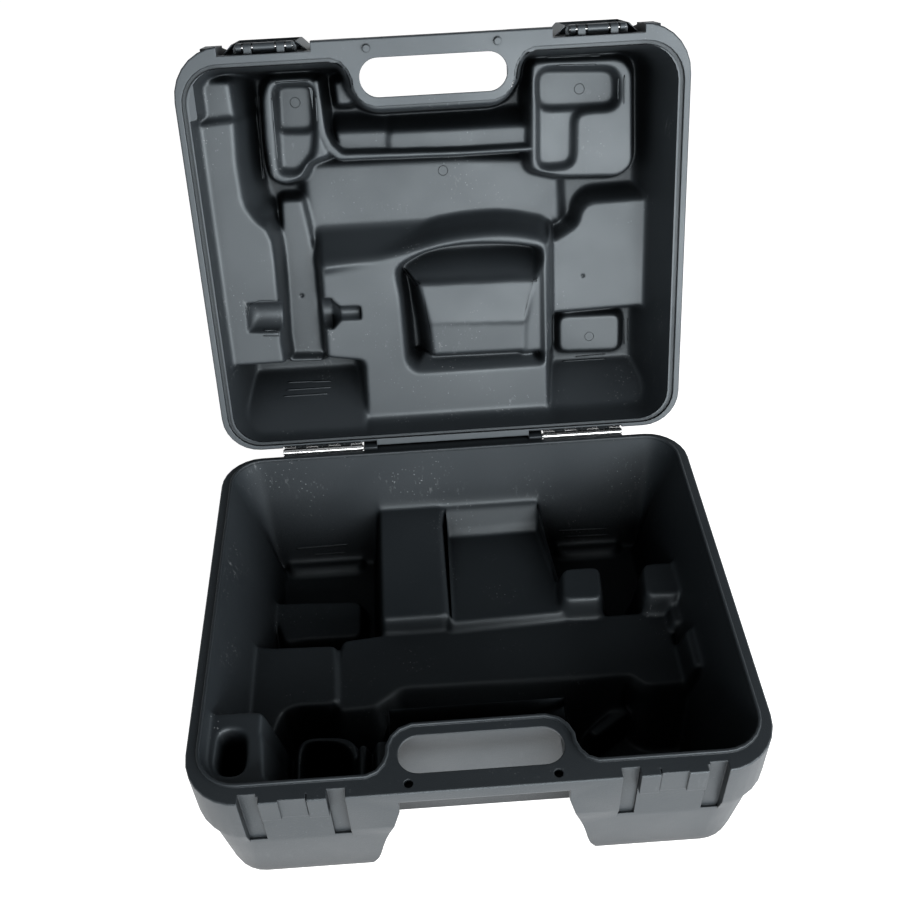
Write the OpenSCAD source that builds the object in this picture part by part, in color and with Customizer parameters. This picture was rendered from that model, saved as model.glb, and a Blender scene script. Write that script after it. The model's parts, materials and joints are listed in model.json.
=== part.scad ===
// Hard tool case, open as in the photo: moulded base and lid, two draw latches, two knuckle hinges.
// Millimetres. X to the right, Y to the back, Z up, origin in the middle of the rest face.
// Most modules are drawn from the rim plane: Y 0 is the front edge, Z 0 the plane where the halves meet.

/* [Case body] */
// Width of the base at its rim
case_w = 400; // [360:5:440]
// Depth of the base at its rim, front to back
case_d = 331.5; // [300:0.5:370]
// Height of the base
base_h = 128; // [118:1:150]
// Height of the lid
lid_h = 70; // [66:1:90]
// How much narrower the lid is at each side
lid_inset = 1.8; // [0:0.1:3]
// Radius of the two front corners, seen from above
front_r = 40.5; // [30:0.5:50]
// Radius of the two back corners, seen from above
back_r = 32.3; // [25:0.1:45]
// Height of the upright band round the base rim
band_h = 42; // [30:1:48]
// Height of the sloped step under the band
step_h = 18; // [8:1:24]
// How far the step brings the wall in
step_in = 5.3; // [3:0.1:8]
// Height of the upright band round the lid rim
lid_band_h = 12; // [8:1:20]
// Draft of the outer walls, in degrees
draft = 7.5; // [3:0.5:9]
// Radius where the walls turn into the base floor
foot_r = 18; // [10:1:24]
// Radius where the walls turn into the lid top
crown_r = 16; // [8:1:20]

/* [Rim and seal] */
// Flat band outside the seal, at the sides
rim_side = 7.2; // [5:0.1:10]
// Flat band outside the seal, at the front
rim_front = 13; // [11:0.5:16]
// Flat band outside the seal, at the back
rim_back = 4.1; // [3:0.1:6]
// Width of the tongue on the base
tongue_w = 2.4; // [1.5:0.1:3]
// Height of the tongue on the base
tongue_h = 2; // [1:0.1:3]
// Clearance of the tongue in the groove of the lid
seal_gap = 0.4; // [0.3:0.05:0.8]

/* [Handle] */
// Width of the hand slot
slot_w = 113; // [100:1:125]
// Depth of the hand slot, front to back
slot_d = 28.8; // [24:0.2:34]
// Depth of the grip bar in front of the slot
grip_d = 14.2; // [12:0.2:20]
// Height of the grip bar on each half
grip_h = 15; // [12:0.5:20]
// Radius of the two pegs on the lid grip
peg_r = 2.8; // [2:0.1:4]
// Height of the two pegs
peg_h = 3; // [2:0.5:5]
// Distance of each peg from the middle
peg_x = 49.6; // [40:0.1:54]

/* [Interior] */
// Depth of the storage space in the base
tray_depth = 114; // [90:1:116]
// Depth of the storage space in the lid
lid_depth = 62; // [50:1:64]
// Draft of the storage walls in the base, in degrees
tray_draft = 9; // [2:0.5:12]
// Draft of the storage walls in the lid, in degrees
lid_draft = 11; // [5:0.5:14]
// Rounding along the top edges of the moulded forms
soft_edge = 1.4; // [0.5:0.1:3]

/* [Hinges] */
// Distance of the hinge axis behind the rim edge
hinge_back = 3.9; // [3:0.1:6]
// Height of the hinge axis over the rim plane
hinge_up = 0.92; // [0:0.01:2]
// Distance of the middle of each hinge from the side of the base
hinge_inset = 86.2; // [75:0.1:100]
// Length of one hinge
hinge_len = 68.6; // [50:0.5:80]
// Number of knuckles of one hinge, an odd number
knuckles = 7; // [5:2:9]
// Outer radius of the knuckles
knuckle_r = 3.3; // [2.5:0.1:3.7]
// Radius of the hinge pin
pin_r = 1.6; // [1:0.1:2]
// Thickness of the hinge leaves
leaf_t = 1.2; // [0.8:0.1:2]
// Height of the hinge leaves
leaf_h = 24; // [15:1:30]
// Opening angle of the lid in the photo, where it meets its stop
open_angle = 108.4; // [90:0.1:120]

/* [Latches] */
// Distance of the middle of each latch from the side of the base
latch_inset = 73.3; // [65:0.1:80]
// Width of the latch face
latch_w = 70; // [60:1:76]
// Length of the latch face under the rim plane
latch_len = 45; // [40:1:50]
// Distance of the latch axis behind the front edge
latch_y = 2.5; // [2:0.1:3.5]
// Height of the latch axis over the rim plane
latch_z = 8; // [7:0.1:9]
// Outer radius of the latch knuckles
eye_r = 3; // [2.5:0.1:3.4]
// Radius of the latch pin
latch_pin_r = 1.5; // [1:0.05:1.8]
// Thickness of the latch walls
latch_t = 2; // [1.5:0.1:2.5]
// Height of the catch teeth on the base
tooth_h = 22; // [18:0.5:26]
// Running clearance of pins in their bores
run_gap = 0.05; // [0.02:0.01:0.1]

/* [Shown part] */
// Node to draw, or all of them

/* [Hidden] */
half_w = case_w / 2;
hinge_x = half_w - hinge_inset;
latch_x = half_w - latch_inset;
hinge_y = case_d + hinge_back;
slot_back = grip_d + slot_d;
slot_end = slot_d / 2;
seat_y = hinge_y - knuckle_r;
knuckle_w = hinge_len / knuckles;
hinge_zone_in = hinge_x - 47;
hinge_zone_out = hinge_x + 35;
stop_y = 2.2;
shelf_back = 10;
shelf_drop = 2.5;
catch_floor = 5.3;
lug_in = 9.5;
lug_out = 15.5;
catch_deep = 66;
made_half_w = 200;
made_d = 331.5;
eps = 0.05;
dark = [0.20, 0.21, 0.23];
dark_lid = [0.24, 0.25, 0.27];
steel = [0.75, 0.76, 0.78];
plastic = [0.15, 0.16, 0.17];

// ---------- outlines and lofts ----------

// Points of one rounded corner, counted the way the outline runs.
function corner(x, y, r, a0, n) = [for (i = [0:n]) [x + r * cos(a0 + 90 * i / n), y + r * sin(a0 + 90 * i / n)]];

// Rounded rectangle from the front edge y0 to the back edge y1, brought in by t on every side.
function plan(hw, y0, y1, rf, rb, t, n = 7) =
    concat(corner(hw - rf, y0 + rf, rf - t, -90, n), corner(hw - rb, y1 - rb, rb - t, 0, n),
           corner(rb - hw, y1 - rb, rb - t, 90, n), corner(rf - hw, y0 + rf, rf - t, 180, n));

function unit(v) = v / norm(v);

// Polygon (counter-clockwise) moved outwards by d, every side staying parallel.
function grow(p, d) = let (n = len(p)) [for (i = [0:n - 1])
    let (a = unit(p[i] - p[(i + n - 1) % n]), b = unit(p[(i + 1) % n] - p[i]),
         m = [a[1], -a[0]], k = [b[1], -b[0]])
    p[i] + d * (m + k) / (1 + m * k)];

// Polygon with every corner softened over the length r.
function soft(p, r, n = 3) = let (c = len(p)) [for (i = [0:c - 1], j = [0:n])
    let (a = unit(p[(i + c - 1) % c] - p[i]), b = unit(p[(i + 1) % c] - p[i]), t = j / n)
    p[i] + r * ((1 - t) * (1 - t) * a + t * t * b)];

// Middle of a list of points, from which both caps of a loft are fanned.
function middle(p) = [for (k = [0, 1]) [for (q = p) q[k]] * [for (q = p) 1] / len(p)];

// Solid through rings of points; each ring is [z, points] and the rings rise.
module loft(rings) {
    n = len(rings[0][1]);
    k = len(rings);
    low = middle(rings[0][1]);
    high = middle(rings[k - 1][1]);
    polyhedron(
        points = concat([for (r = rings) for (p = r[1]) [p[0], p[1], r[0]]],
                        [[low[0], low[1], rings[0][0]], [high[0], high[1], rings[k - 1][0]]]),
        faces = concat([for (i = [0:n - 1]) [i, (i + 1) % n, k * n]],
                       [for (j = [0:k - 2], i = [0:n - 1])
                           [j * n + i, (j + 1) * n + i, (j + 1) * n + (i + 1) % n, j * n + (i + 1) % n]],
                       [for (i = [0:n - 1]) [(k - 1) * n + (i + 1) % n, (k - 1) * n + i, k * n + 1]]),
        convexity = 6);
}

// Closed band of four or more outlines: each is [z, points], and the last one joins the first.
module band(rings) {
    n = len(rings[0][1]);
    k = len(rings);
    polyhedron(
        points = [for (r = rings) for (p = r[1]) [p[0], p[1], r[0]]],
        faces = [for (j = [0:k - 1], i = [0:n - 1])
            [j * n + i, (j + 1) % k * n + i, (j + 1) % k * n + (i + 1) % n, j * n + (i + 1) % n]],
        convexity = 6);
}

// Outline given for the made size, fitted to the width and depth that are set.
function fit(p) = [for (q = p) [q[0] * half_w / made_half_w, q[1] * case_d / made_d]];

// Moulded form with drafted walls: outline p at height face, widening towards height root.
module form(p, face, root, slope = 8, r = 4, edge = soft_edge) {
    s = root > face ? 1 : -1;
    q = fit(p);
    reach = abs(root - face) * tan(slope);
    rings = [[face, soft(grow(q, -edge), r)], [face + s * edge, soft(q, r)], [root, soft(grow(q, reach), r)]];
    loft(s > 0 ? rings : [rings[2], rings[1], rings[0]]);
}

// Moulded form with upright walls and a slanted face, which is at height face in the point at
// and rises by tilt along X and Y.
module slant(p, face, tilt, at, root) {
    q = fit(p);
    n = len(q);
    c = middle(q);
    ends = root > face ? [1, 0] : [0, 1];
    polyhedron(
        points = concat(
            [for (e = ends, v = q) [v[0], v[1], e * (face + tilt * (v - at)) + (1 - e) * root]],
            [for (e = ends) [c[0], c[1], e * (face + tilt * (c - at)) + (1 - e) * root]]),
        faces = concat([for (i = [0:n - 1]) [i, (i + 1) % n, 2 * n]],
                       [for (i = [0:n - 1]) [i, n + i, n + (i + 1) % n, (i + 1) % n]],
                       [for (i = [0:n - 1]) [n + (i + 1) % n, n + i, 2 * n + 1]]),
        convexity = 4);
}

// Half-round hollow along a line from a to b at height z, with radii ra and rb.
module trough(a, b, ra, rb, z) {
    d = fit([b])[0] - fit([a])[0];
    translate(concat(fit([a])[0], [z]))
        rotate([0, 90, atan2(d[1], d[0])])
            cylinder(h = norm(d), r1 = ra, r2 = rb, $fn = 32);
}

// Upright block given by its corners.
module block(x0, x1, y0, y1, z0, z1) {
    translate([x0, y0, z0])
        cube([x1 - x0, y1 - y0, z1 - z0]);
}

// The same thing on the left and on the right.
module both_sides() {
    children();
    mirror([1, 0, 0])
        children();
}

// Rim frame to part frame.
module at_rim() {
    translate([0, -case_d / 2, base_h])
        children();
}

// Closed lid to the open lid of the photo, turned about the hinge axis.
module lid_open() {
    at_rim()
        translate([0, hinge_y, hinge_up])
            rotate([-open_angle, 0, 0])
                translate([0, -hinge_y, -hinge_up])
                    children();
}

// ---------- shared outlines ----------

// Detour of the seal round the hand slot, from its left end to its middle.
seal_detour = [[-77.5, rim_front], [-70, 16], [-65, 22], [-62.3, 29], [-62, 35], [-59, 42], [-54, 47], [-46, 50]];

// Line of the seal with its detour round the hand slot, brought in by t; tongue and groove follow it.
function seal(t) = grow(concat(
    plan(half_w - rim_side, rim_front, case_d - rim_back, 30, 27, 0),
    seal_detour, [for (i = [len(seal_detour) - 1:-1:0]) [-seal_detour[i][0], seal_detour[i][1]]]), -t);

// Outline of the wall round the hand slot, as wide as the seal runs round it.
grip_wall = [[-82, rim_front - 9], [82, rim_front - 9], [81, 15], [73, 17], [67, 22], [64.6, 29], [64, 36],
             [60.5, 43.5], [55, 49], [47, slot_back + 9], [-47, slot_back + 9], [-55, 49], [-60.5, 43.5],
             [-64, 36], [-64.6, 29], [-67, 22], [-73, 17], [-81, 15]];

// The wall round the hand slot down to height root; its back leans with the back of the notch.
module slot_wall(root) {
    lean = abs(root) * tan(draft);
    foot = [for (p = soft(grip_wall, 2)) [p[0], p[1] + lean * min(1, max(0, (p[1] - 12) / 38))]];
    rings = [[0, soft(grip_wall, 2)], [root, foot]];
    loft(root > 0 ? rings : [rings[1], rings[0]]);
}

// Space of the hand slot from above: a stadium through the height given.
module slot_hole(z0, z1) {
    r = slot_end;
    translate([0, grip_d + r, z0]) {
        translate([-slot_w / 2 + r, -r, 0])
            cube([slot_w - 2 * r, slot_d, z1 - z0]);
        both_sides()
            translate([slot_w / 2 - r, 0, 0])
                cylinder(h = z1 - z0, r = r, $fn = 64);
    }
}

// ---------- base ----------

// Outer solid of the base with band, step, drafted wall and rounded foot.
module base_outer() {
    knee = band_h + step_h;
    low = base_h - foot_r;
    wall_in = step_in + (low - knee) * tan(draft);
    foot = [for (i = [4:-1:0]) let (a = 90 * i / 4) [-low - foot_r * sin(a), wall_in + foot_r * (1 - cos(a))]];
    levels = concat(foot, [[-knee, step_in], [-band_h, 0], [-0.8, 0], [0, 0.8]]);
    loft([for (l = levels) [l[0], plan(half_w, 0, case_d, front_r, back_r, l[1])]]);
}

// Outline of the notch under the grip, seen from the front.
notch_half = [[57, 5], [57, -23], [61.5, -41], [65.5, -58], [69.5, -72], [72.5, -86], [74.5, -97],
              [77, -107], [81, -115.5], [87, -122], [95, -126.5], [104, -129], [106, -140]];

// Notch under the grip, open to the front and the bottom.
module grip_notch() {
    lean = base_h * tan(draft);
    outline = concat(notch_half, [for (i = [len(notch_half) - 1:-1:0]) [-notch_half[i][0], notch_half[i][1]]]);
    side = [[-2, -grip_h + 5], [0, -grip_h + 5], [1.5, -grip_h + 1.5], [5, -grip_h], [grip_d - 5, -grip_h],
            [grip_d - 1.5, -grip_h + 1.5], [grip_d, -grip_h + 5], [grip_d, -2], [slot_back, -2],
            [slot_back + lean, -base_h - 2], [-2, -base_h - 2]];
    intersection() {
        translate([0, 90, 0])
            rotate([90, 0, 0])
                linear_extrude(height = 100)
                    polygon(outline);
        rotate([90, 0, 90])
            translate([0, 0, -150])
                linear_extrude(height = 300)
                    polygon(side);
    }
}

// Wall that follows the notch on the inside of the base.
module notch_wall() {
    wall = [for (p = notch_half) [p[0] + 5, min(p[1] + 6, -6)]];
    outline = concat(wall, [for (i = [len(wall) - 1:-1:0]) [-wall[i][0], wall[i][1]]]);
    intersection() {
        translate([0, slot_back + 26, 0])
            rotate([90, 0, 0])
                linear_extrude(height = slot_back + 12)
                    polygon(outline);
        block(-140, 140, 10, 80, -tray_depth - 3, -1);
    }
}

// Moulded forms standing in the storage space of the base, and the pockets in them.
module tray_forms() {
    low = -tray_depth - 1;
    form([[-106, 113], [-74, 110], [-72, 124], [-70, 185], [-104, 182]], -70, low);
    form([[-76, 128], [170, 128], [168, 150], [167, 190], [60, 190], [-74, 185]], -70, low);
    form([[127, 127], [132, 114], [174, 115], [170, 142], [127, 140]], -70, low);
    form([[-170, 115], [-148, 113], [-142, 116], [-111, 116], [-105, 121], [-110, 171], [-168, 173]],
         -66, low, r = 3);
    form([[-71, 326], [-71, 176], [-19, 182], [-15, 326]], -56, low, 6);
    difference() {
        form([[-15, 326], [-15, 188], [82, 192], [72, 326]], -57, low, 5);
        slant([[-10, 294.5], [-12, 180], [84, 180], [72, 294.5]], -70, [0, -0.14], [30, 245], -40);
        slant([[-10, 312], [-10, 294], [73, 294], [73, 312]], -57, [0, 1.15], [30, 312], -30);
    }
    form([[78, 186], [113, 186], [115, 220], [83, 218]], -50, low, 6);
    form([[145, 186], [170, 186], [172, 222], [149, 220]], -50, low, 6);
    form([[166, 168], [185, 168], [187, 190], [167, 191]], -60, low);
    form([[169, 114], [189, 114], [184, 154], [169, 152]], -48, low);
    form([[79, 250], [126, 246], [156, 250], [155, 272], [144, 280], [82, 280]], -94, low);
    form([[-158, 240], [-155, 200], [-141, 207], [-89, 206], [-89, 240]], -96, low);
    form([[91, 105], [99, 92], [124, 111], [117, 123]], -92, low);
    difference() {
        union() {
            form([[-192, 12], [-64, 12], [-68, 50], [-146, 54], [-192, 54]], -9, low, 4);
            form([[-192, 30], [-151, 30], [-151, 81], [-192, 84]], -9, low, 4);
        }
        form([[-178, 34], [-163, 34], [-163, 61], [-178, 61]], -46, 2, 3);
        form([[-143, 27], [-129, 27], [-129, 60], [-143, 60]], -78, 2, 3);
        form([[-123, 24], [-89, 24], [-89, 60], [-123, 60]], -78, 2, 3);
        form([[-156, 34], [-149, 34], [-149, 90], [-156, 90]], -20, 2, 3, 2);
    }
}

// Pocket in the front wall of the base that takes one latch, with its two catch teeth.
module catch_cut() {
    difference() {
        union() {
            block(latch_x - 35.4, latch_x + 35.5, -2, catch_floor, -catch_deep, 2);
            block(latch_x - 35.4, latch_x - 23.1, -2, catch_floor + 2, -56, 2);
            block(latch_x + 23.4, latch_x + 35.5, -2, catch_floor + 2, -56, 2);
        }
        block(latch_x + 8.7, latch_x + 21.7, -1, catch_floor + 1, -tooth_h, 3);
        block(latch_x - 23.1, latch_x - 10.1, -1, catch_floor + 1, -tooth_h, 3);
        block(latch_x - 9.4, latch_x + 8.7, 1.6, catch_floor + 1, -tooth_h, 3);
    }
}

// Storage space of the base, brought in by t on every side.
module tray_space(t) {
    foot_in = (tray_depth - 5) * tan(tray_draft);
    loft([for (l = [[-tray_depth, foot_in + 5], [-tray_depth + 5, foot_in], [1, 0]])
        [l[0] + min(t, 0), plan(half_w - rim_side, rim_front, case_d - rim_back, 30, 27, tongue_w + l[1] + t)]]);
}

// Bores for the screws of the hinge leaves, on the base (side -1) or on the lid (side 1).
module screw_bores(side) {
    for (m = [-1, 1], i = [-1, 0, 1])
        translate([m * hinge_x + 23 * i, seat_y, hinge_up + side * (leaf_h - 9)])
            rotate([90, 0, 0])
                cylinder(h = 9, r = 1.55, $fn = 24);
}

module base_shell() {
    color(dark)
    at_rim()
    difference() {
        union() {
            difference() {
                union() {
                    base_outer();
                    block(-hinge_zone_in, hinge_zone_in, case_d - 8, case_d + 5.2, -6, 0);
                    block(-hinge_zone_in, hinge_zone_in, case_d - 8, case_d + shelf_back, -9, -shelf_drop);
                    both_sides()
                        block(hinge_zone_in, hinge_zone_out, case_d - 12, seat_y, -30, 0);
                }
                tray_space(0);
            }
            intersection() {
                tray_space(-1);
                union() {
                    tray_forms();
                    slot_wall(-tray_depth - 3);
                    notch_wall();
                }
            }
            band([[-3, seal(0)], [tongue_h - 0.5, seal(0)], [tongue_h, seal(0.5)],
                  [tongue_h, seal(tongue_w - 0.5)], [tongue_h - 0.5, seal(tongue_w)], [-3, seal(tongue_w)]]);
        }
        grip_notch();
        slot_hole(-grip_h - 5, 1);
        both_sides()
            catch_cut();
        both_sides()
            translate([peg_x, grip_d / 2, -peg_h - 3])
                cylinder(h = peg_h + 4, r = peg_r + 0.3, $fn = 32);
        screw_bores(-1);
    }
}

// ---------- lid, drawn closed: Z 0 is the rim, the storage space opens downwards ----------

// Outer solid of the lid.
module lid_outer() {
    top = lid_h - crown_r;
    wall_in = (top - lid_band_h) * tan(draft);
    crown = [for (i = [0:4]) let (a = 90 * i / 4) [top + crown_r * sin(a), wall_in + crown_r * (1 - cos(a))]];
    levels = concat([[0, 0.8], [0.8, 0], [lid_band_h, 0]], crown);
    loft([for (l = levels)
        [l[0], plan(half_w - lid_inset, 0, case_d, front_r - lid_inset, back_r - lid_inset, l[1])]]);
}

// Storage space of the lid, brought in by t on every side.
module lid_space(t) {
    far_in = (lid_depth - 5) * tan(lid_draft);
    loft([for (l = [[-1, 0], [lid_depth - 5, far_in], [lid_depth, far_in + 5]])
        [l[0] - min(t, 0), plan(half_w - lid_inset - 9.6, rim_front + 2.4, case_d - rim_back - 3, 28, 25, l[1] + t)]]);
}

// Space of the hand slot and the grip in the lid.
module lid_grip() {
    lean = lid_h * tan(draft);
    outline = [[58, -5], [58, 24], [62, 42], [66, 58], [70, 75], [-70, 75], [-66, 58], [-62, 42], [-58, 24], [-58, -5]];
    side = [[-2, grip_h - 5], [0, grip_h - 5], [1.5, grip_h - 1.5], [5, grip_h], [grip_d - 5, grip_h],
            [grip_d - 1.5, grip_h - 1.5], [grip_d, grip_h - 5], [grip_d, 2], [slot_back, 2],
            [slot_back + lean, lid_h + 2], [-2, lid_h + 2]];
    intersection() {
        translate([0, 90, 0])
            rotate([90, 0, 0])
                linear_extrude(height = 100)
                    polygon([for (i = [len(outline) - 1:-1:0]) outline[i]]);
        rotate([90, 0, 90])
            translate([0, 0, -150])
                linear_extrude(height = 300)
                    polygon([for (i = [len(side) - 1:-1:0]) side[i]]);
    }
}

// Moulded forms and pockets of the lid.
module lid_forms() {
    deep = lid_depth + 1;
    form([[-192, 12], [-182, 12], [-182, 52], [-192, 54]], 0.2, deep, 4, 2, 0.5);
    form([[-186, 25], [-159, 26], [-159, 60], [-186, 60]], 19, deep, 5);
    form([[-80, 32], [-62, 32], [-64, 53], [-79, 53]], 40, deep, 5, 2);
    form([[-82, 72], [-38, 73], [-39, 90], [-80, 88]], 40, deep, 6, 3);
    form([[-38, 74], [72, 75], [72, 92], [-39, 90]], 38, deep, 6, 3);
    form([[-113, 100], [-79, 96], [11, 96], [103, 104], [104, 150], [60, 160], [-113, 160]], 52, deep);
    form([[92, 234], [92, 178], [101, 170], [116, 161], [119, 148], [127, 142], [174, 141], [176, 235]], 42, deep, 7);
    form([[98, 243], [155, 243], [155, 276], [98, 275]], 50, deep, 7);
    lid_corner_blocks();
    lid_rib();
    difference() {
        union() {
            form([[-184, 57], [-159, 56], [-157, 130], [-184, 130]], 14, deep, 5);
            form([[-184, 114], [-157, 118], [-153, 135], [-144, 141], [-139, 169], [-138, 202], [-139, 258],
                  [-184, 258]], 14, deep, 5);
            lid_pad();
        }
        form([[-138, 126], [-116, 126], [-113, 147], [-109, 164], [-110, 213], [-111, 266], [-138, 266],
              [-137, 211], [-137, 167]], 45.5, 4, 3, 2);
        trough([-168, 215.5], [-126, 217], 13, 13, 14);
        trough([-114, 218], [-97, 219], 13, 13, 22);
        trough([-97.2, 219], [-90, 219], 13, 6, 22);
        trough([-90.2, 219], [-73, 219.5], 5.5, 5.5, 22);
    }
    form([[-139, 132], [-113, 132], [-107, 266], [-139, 266]], 45, deep, 5);
    form([[-140, 261], [-108, 263], [-108, 268], [-141, 267]], 38, deep, 4, 1, 0.8);
}

// The two blocks in the upper corners of the lid, each with a stepped pocket.
module lid_corner_blocks() {
    deep = lid_depth + 1;
    difference() {
        form([[-127, 27], [-94, 27], [-91, 38], [-91, 76], [-79, 94], [-113, 110], [-133, 109], [-138, 101],
              [-138, 74], [-136, 51], [-135, 36]], 30, deep, 7, 3);
        form([[-125, 34], [-98, 36], [-96, 71], [-88, 96], [-112, 101], [-130, 100], [-129, 70]], 38, 26, 9, 3);
        form([[-122, 36], [-97, 38], [-100, 69], [-125, 68]], 43, 35, 12, 3);
    }
    difference() {
        form([[77, 26], [150, 27], [158, 37], [160, 111], [150, 119], [100, 116], [75, 111]], 30, deep, 7);
        form([[84, 37], [108, 37], [107, 107], [83, 106]], 37, 26, 8);
        form([[85, 37], [139, 38], [142, 62], [85, 61]], 42, 26, 9);
    }
}

// Narrow rib round the recess under the hand slot.
module lid_rib() {
    deep = lid_depth + 1;
    form([[-94, 32], [-90, 32], [-89, 78], [-93.5, 78]], 30, deep, 7, 0.9, 0.6);
    form([[-93.5, 72], [-89, 70], [-74, 86], [-76, 92]], 30, deep, 7, 0.9, 0.6);
    form([[-78, 88], [76, 91], [76, 95.2], [-77, 92.2]], 30, deep, 7, 0.9, 0.6);
}

// Raised pad in the middle of the lid, with the sunk seat of the tool's foot.
module lid_pad() {
    deep = lid_depth + 1;
    difference() {
        form([[-104, 170], [-59, 172], [-35, 167], [-18, 163], [-1, 159], [15, 157], [32, 156], [49, 156],
              [65, 158], [86, 163], [89, 218], [88, 330], [-75, 330], [-73, 264], [-105, 258]], 22, deep);
        form([[-49, 181], [-36, 178], [-19, 172], [-2, 169], [15, 166], [32, 166], [48, 167], [65, 169],
              [83, 173], [83, 276], [-29, 276], [-37, 270], [-35, 197]], 58, 14, 5);
    }
    form([[-21, 199], [77, 201], [68, 237], [67, 263], [-12, 262], [-14, 232]], 23, deep, 10);
    slant([[-24, 200], [-42, 177], [84, 171], [79, 202]], 25, [0, -1.05], [20, 200], deep);
    slant([[-20, 197], [-11, 262], [-30, 263], [-40, 190]], 25, [-1.5, 0.21], [-21, 199], deep);
    slant([[87, 198], [87, 263], [66, 263], [66, 236], [76, 200]], 23.4, [0.7, 0.17], [77, 201], deep);
}

// Recess in the front wall of the lid for one latch.
module latch_recess() {
    block(latch_x - 35.3, latch_x + 35.3, -2, latch_y + 4.5, -1, lid_h + 1);
    block(latch_x - 35.3, latch_x + 35.3, -2, latch_y + 8.2, 11.5, lid_h + 1);
    block(latch_x - 35.3, latch_x + 35.3, -2, latch_y + 10.6, 55, lid_h + 1);
}

// Upright bosses at both sides of one latch recess.
module latch_guards() {
    for (x = [[-58, -35.3], [35.3, 48]])
        block(latch_x + x[0], latch_x + x[1], 1.5, 20, 6, 34);
}

// The two lugs on the rim of the lid that hold the pin of one latch.
module latch_lugs() {
    for (x = [lug_in, -lug_out])
        translate([latch_x + x, latch_y, latch_z]) {
            rotate([0, 90, 0])
                cylinder(h = lug_out - lug_in, r = eye_r, $fn = 40);
            translate([0, 0, -eye_r])
                cube([lug_out - lug_in, 5.5, 2 * eye_r]);
        }
}

// Lid before the lugs are set on it.
module lid_body() {
    difference() {
        union() {
            difference() {
                union() {
                    lid_outer();
                    block(-hinge_zone_in, hinge_zone_in, case_d - 8, case_d + stop_y, 0, 8);
                    both_sides()
                        block(hinge_zone_in, hinge_zone_out, case_d - 12, seat_y, 0, 28);
                    both_sides()
                        latch_guards();
                }
                lid_space(0);
            }
            intersection() {
                lid_space(-1);
                union() {
                    lid_forms();
                    slot_wall(lid_depth + 2);
                }
            }
            both_sides()
                translate([peg_x, grip_d / 2, -peg_h])
                    cylinder(h = peg_h + 2, r = peg_r, $fn = 32);
        }
        band([[-1, seal(-seal_gap)], [tongue_h + 0.5, seal(-seal_gap)],
              [tongue_h + 0.5, seal(tongue_w + seal_gap)], [-1, seal(tongue_w + seal_gap)]]);
        lid_grip();
        slot_hole(-1, grip_h + 5);
        both_sides()
            latch_recess();
        both_sides()
            block(hinge_zone_in, hinge_zone_out, case_d - 2.4, case_d + 9, -1, 5);
        screw_bores(1);
    }
}

module lid_shell() {
    color(dark_lid)
    lid_open()
    difference() {
        union() {
            lid_body();
            both_sides()
                latch_lugs();
        }
        both_sides()
            translate([latch_x - 25, latch_y, latch_z])
                rotate([0, 90, 0])
                    cylinder(h = 50, r = latch_pin_r + run_gap, $fn = 32);
    }
}

// ---------- hinges, drawn at the hinge axis: X along the pin ----------

// One leaf: side -1 lies on the base and has the odd knuckles, side 1 lies on the lid.
module leaf(side) {
    first = side < 0 ? 0 : 1;
    plate_z = knuckle_r + 0.4;
    difference() {
        union() {
            translate([-hinge_len / 2, -knuckle_r, side < 0 ? -leaf_h : plate_z])
                cube([hinge_len, leaf_t, leaf_h - plate_z]);
            for (i = [first:2:knuckles - 1])
                translate([-hinge_len / 2 + i * knuckle_w + 0.1, 0, 0]) {
                    rotate([0, 90, 0])
                        cylinder(h = knuckle_w - 0.2, r = knuckle_r, $fn = 48);
                    translate([0, -knuckle_r, side < 0 ? -plate_z - 1 : 0])
                        cube([knuckle_w - 0.2, leaf_t, plate_z + 1]);
                }
        }
        translate([-hinge_len / 2 - 1, 0, 0])
            rotate([0, 90, 0])
                cylinder(h = hinge_len + 2, r = pin_r + run_gap, $fn = 40);
        for (i = [-1, 0, 1])
            translate([23 * i, 1, side * (leaf_h - 9)])
                rotate([90, 0, 0])
                    cylinder(h = 6, r = 1.65, $fn = 24);
    }
}

// Hinge pin with a small head at each end.
module hinge_pin() {
    translate([-hinge_len / 2, 0, 0])
        rotate([0, 90, 0])
            cylinder(h = hinge_len, r = pin_r, $fn = 40);
    for (x = [-hinge_len / 2 - 0.8, hinge_len / 2])
        translate([x, 0, 0])
            rotate([0, 90, 0])
                cylinder(h = 0.8, r = pin_r + 0.7, $fn = 40);
}

// Three round-headed screws of one leaf, each with a cross slot.
module leaf_screws(side) {
    for (i = [-1, 0, 1])
        translate([23 * i, leaf_t - knuckle_r, side * (leaf_h - 9)])
            rotate([-90, 0, 0])
                difference() {
                    union() {
                        cylinder(h = 0.7, r = 3, $fn = 32);
                        translate([0, 0, 0.7])
                            cylinder(h = 0.7, r1 = 3, r2 = 1.9, $fn = 32);
                        translate([0, 0, -8])
                            cylinder(h = 8.2, r = 1.5, $fn = 24);
                    }
                    for (a = [0, 90])
                        rotate([0, 0, a])
                            translate([-1.5, -0.25, 0.8])
                                cube([3, 0.5, 2]);
                }
}

// Places a hinge part on the base or on the opened lid, left (-1) or right (1).
module on_base(m) {
    at_rim()
        translate([m * hinge_x, hinge_y, hinge_up])
            children();
}

module on_lid(m) {
    lid_open()
        translate([m * hinge_x, hinge_y, hinge_up])
            children();
}

module hinge_left_base_leaf() {
    color(steel) on_base(-1) leaf(-1);
}

module hinge_left_lid_leaf() {
    color(steel) on_lid(-1) leaf(1);
}

module hinge_left_pin() {
    color(steel) on_base(-1) hinge_pin();
}

module hinge_left_base_screws() {
    color(steel) on_base(-1) leaf_screws(-1);
}

module hinge_left_lid_screws() {
    color(steel) on_lid(-1) leaf_screws(1);
}

module hinge_right_base_leaf() {
    color(steel) on_base(1) leaf(-1);
}

module hinge_right_lid_leaf() {
    color(steel) on_lid(1) leaf(1);
}

module hinge_right_pin() {
    color(steel) on_base(1) hinge_pin();
}

module hinge_right_base_screws() {
    color(steel) on_base(1) leaf_screws(-1);
}

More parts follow.
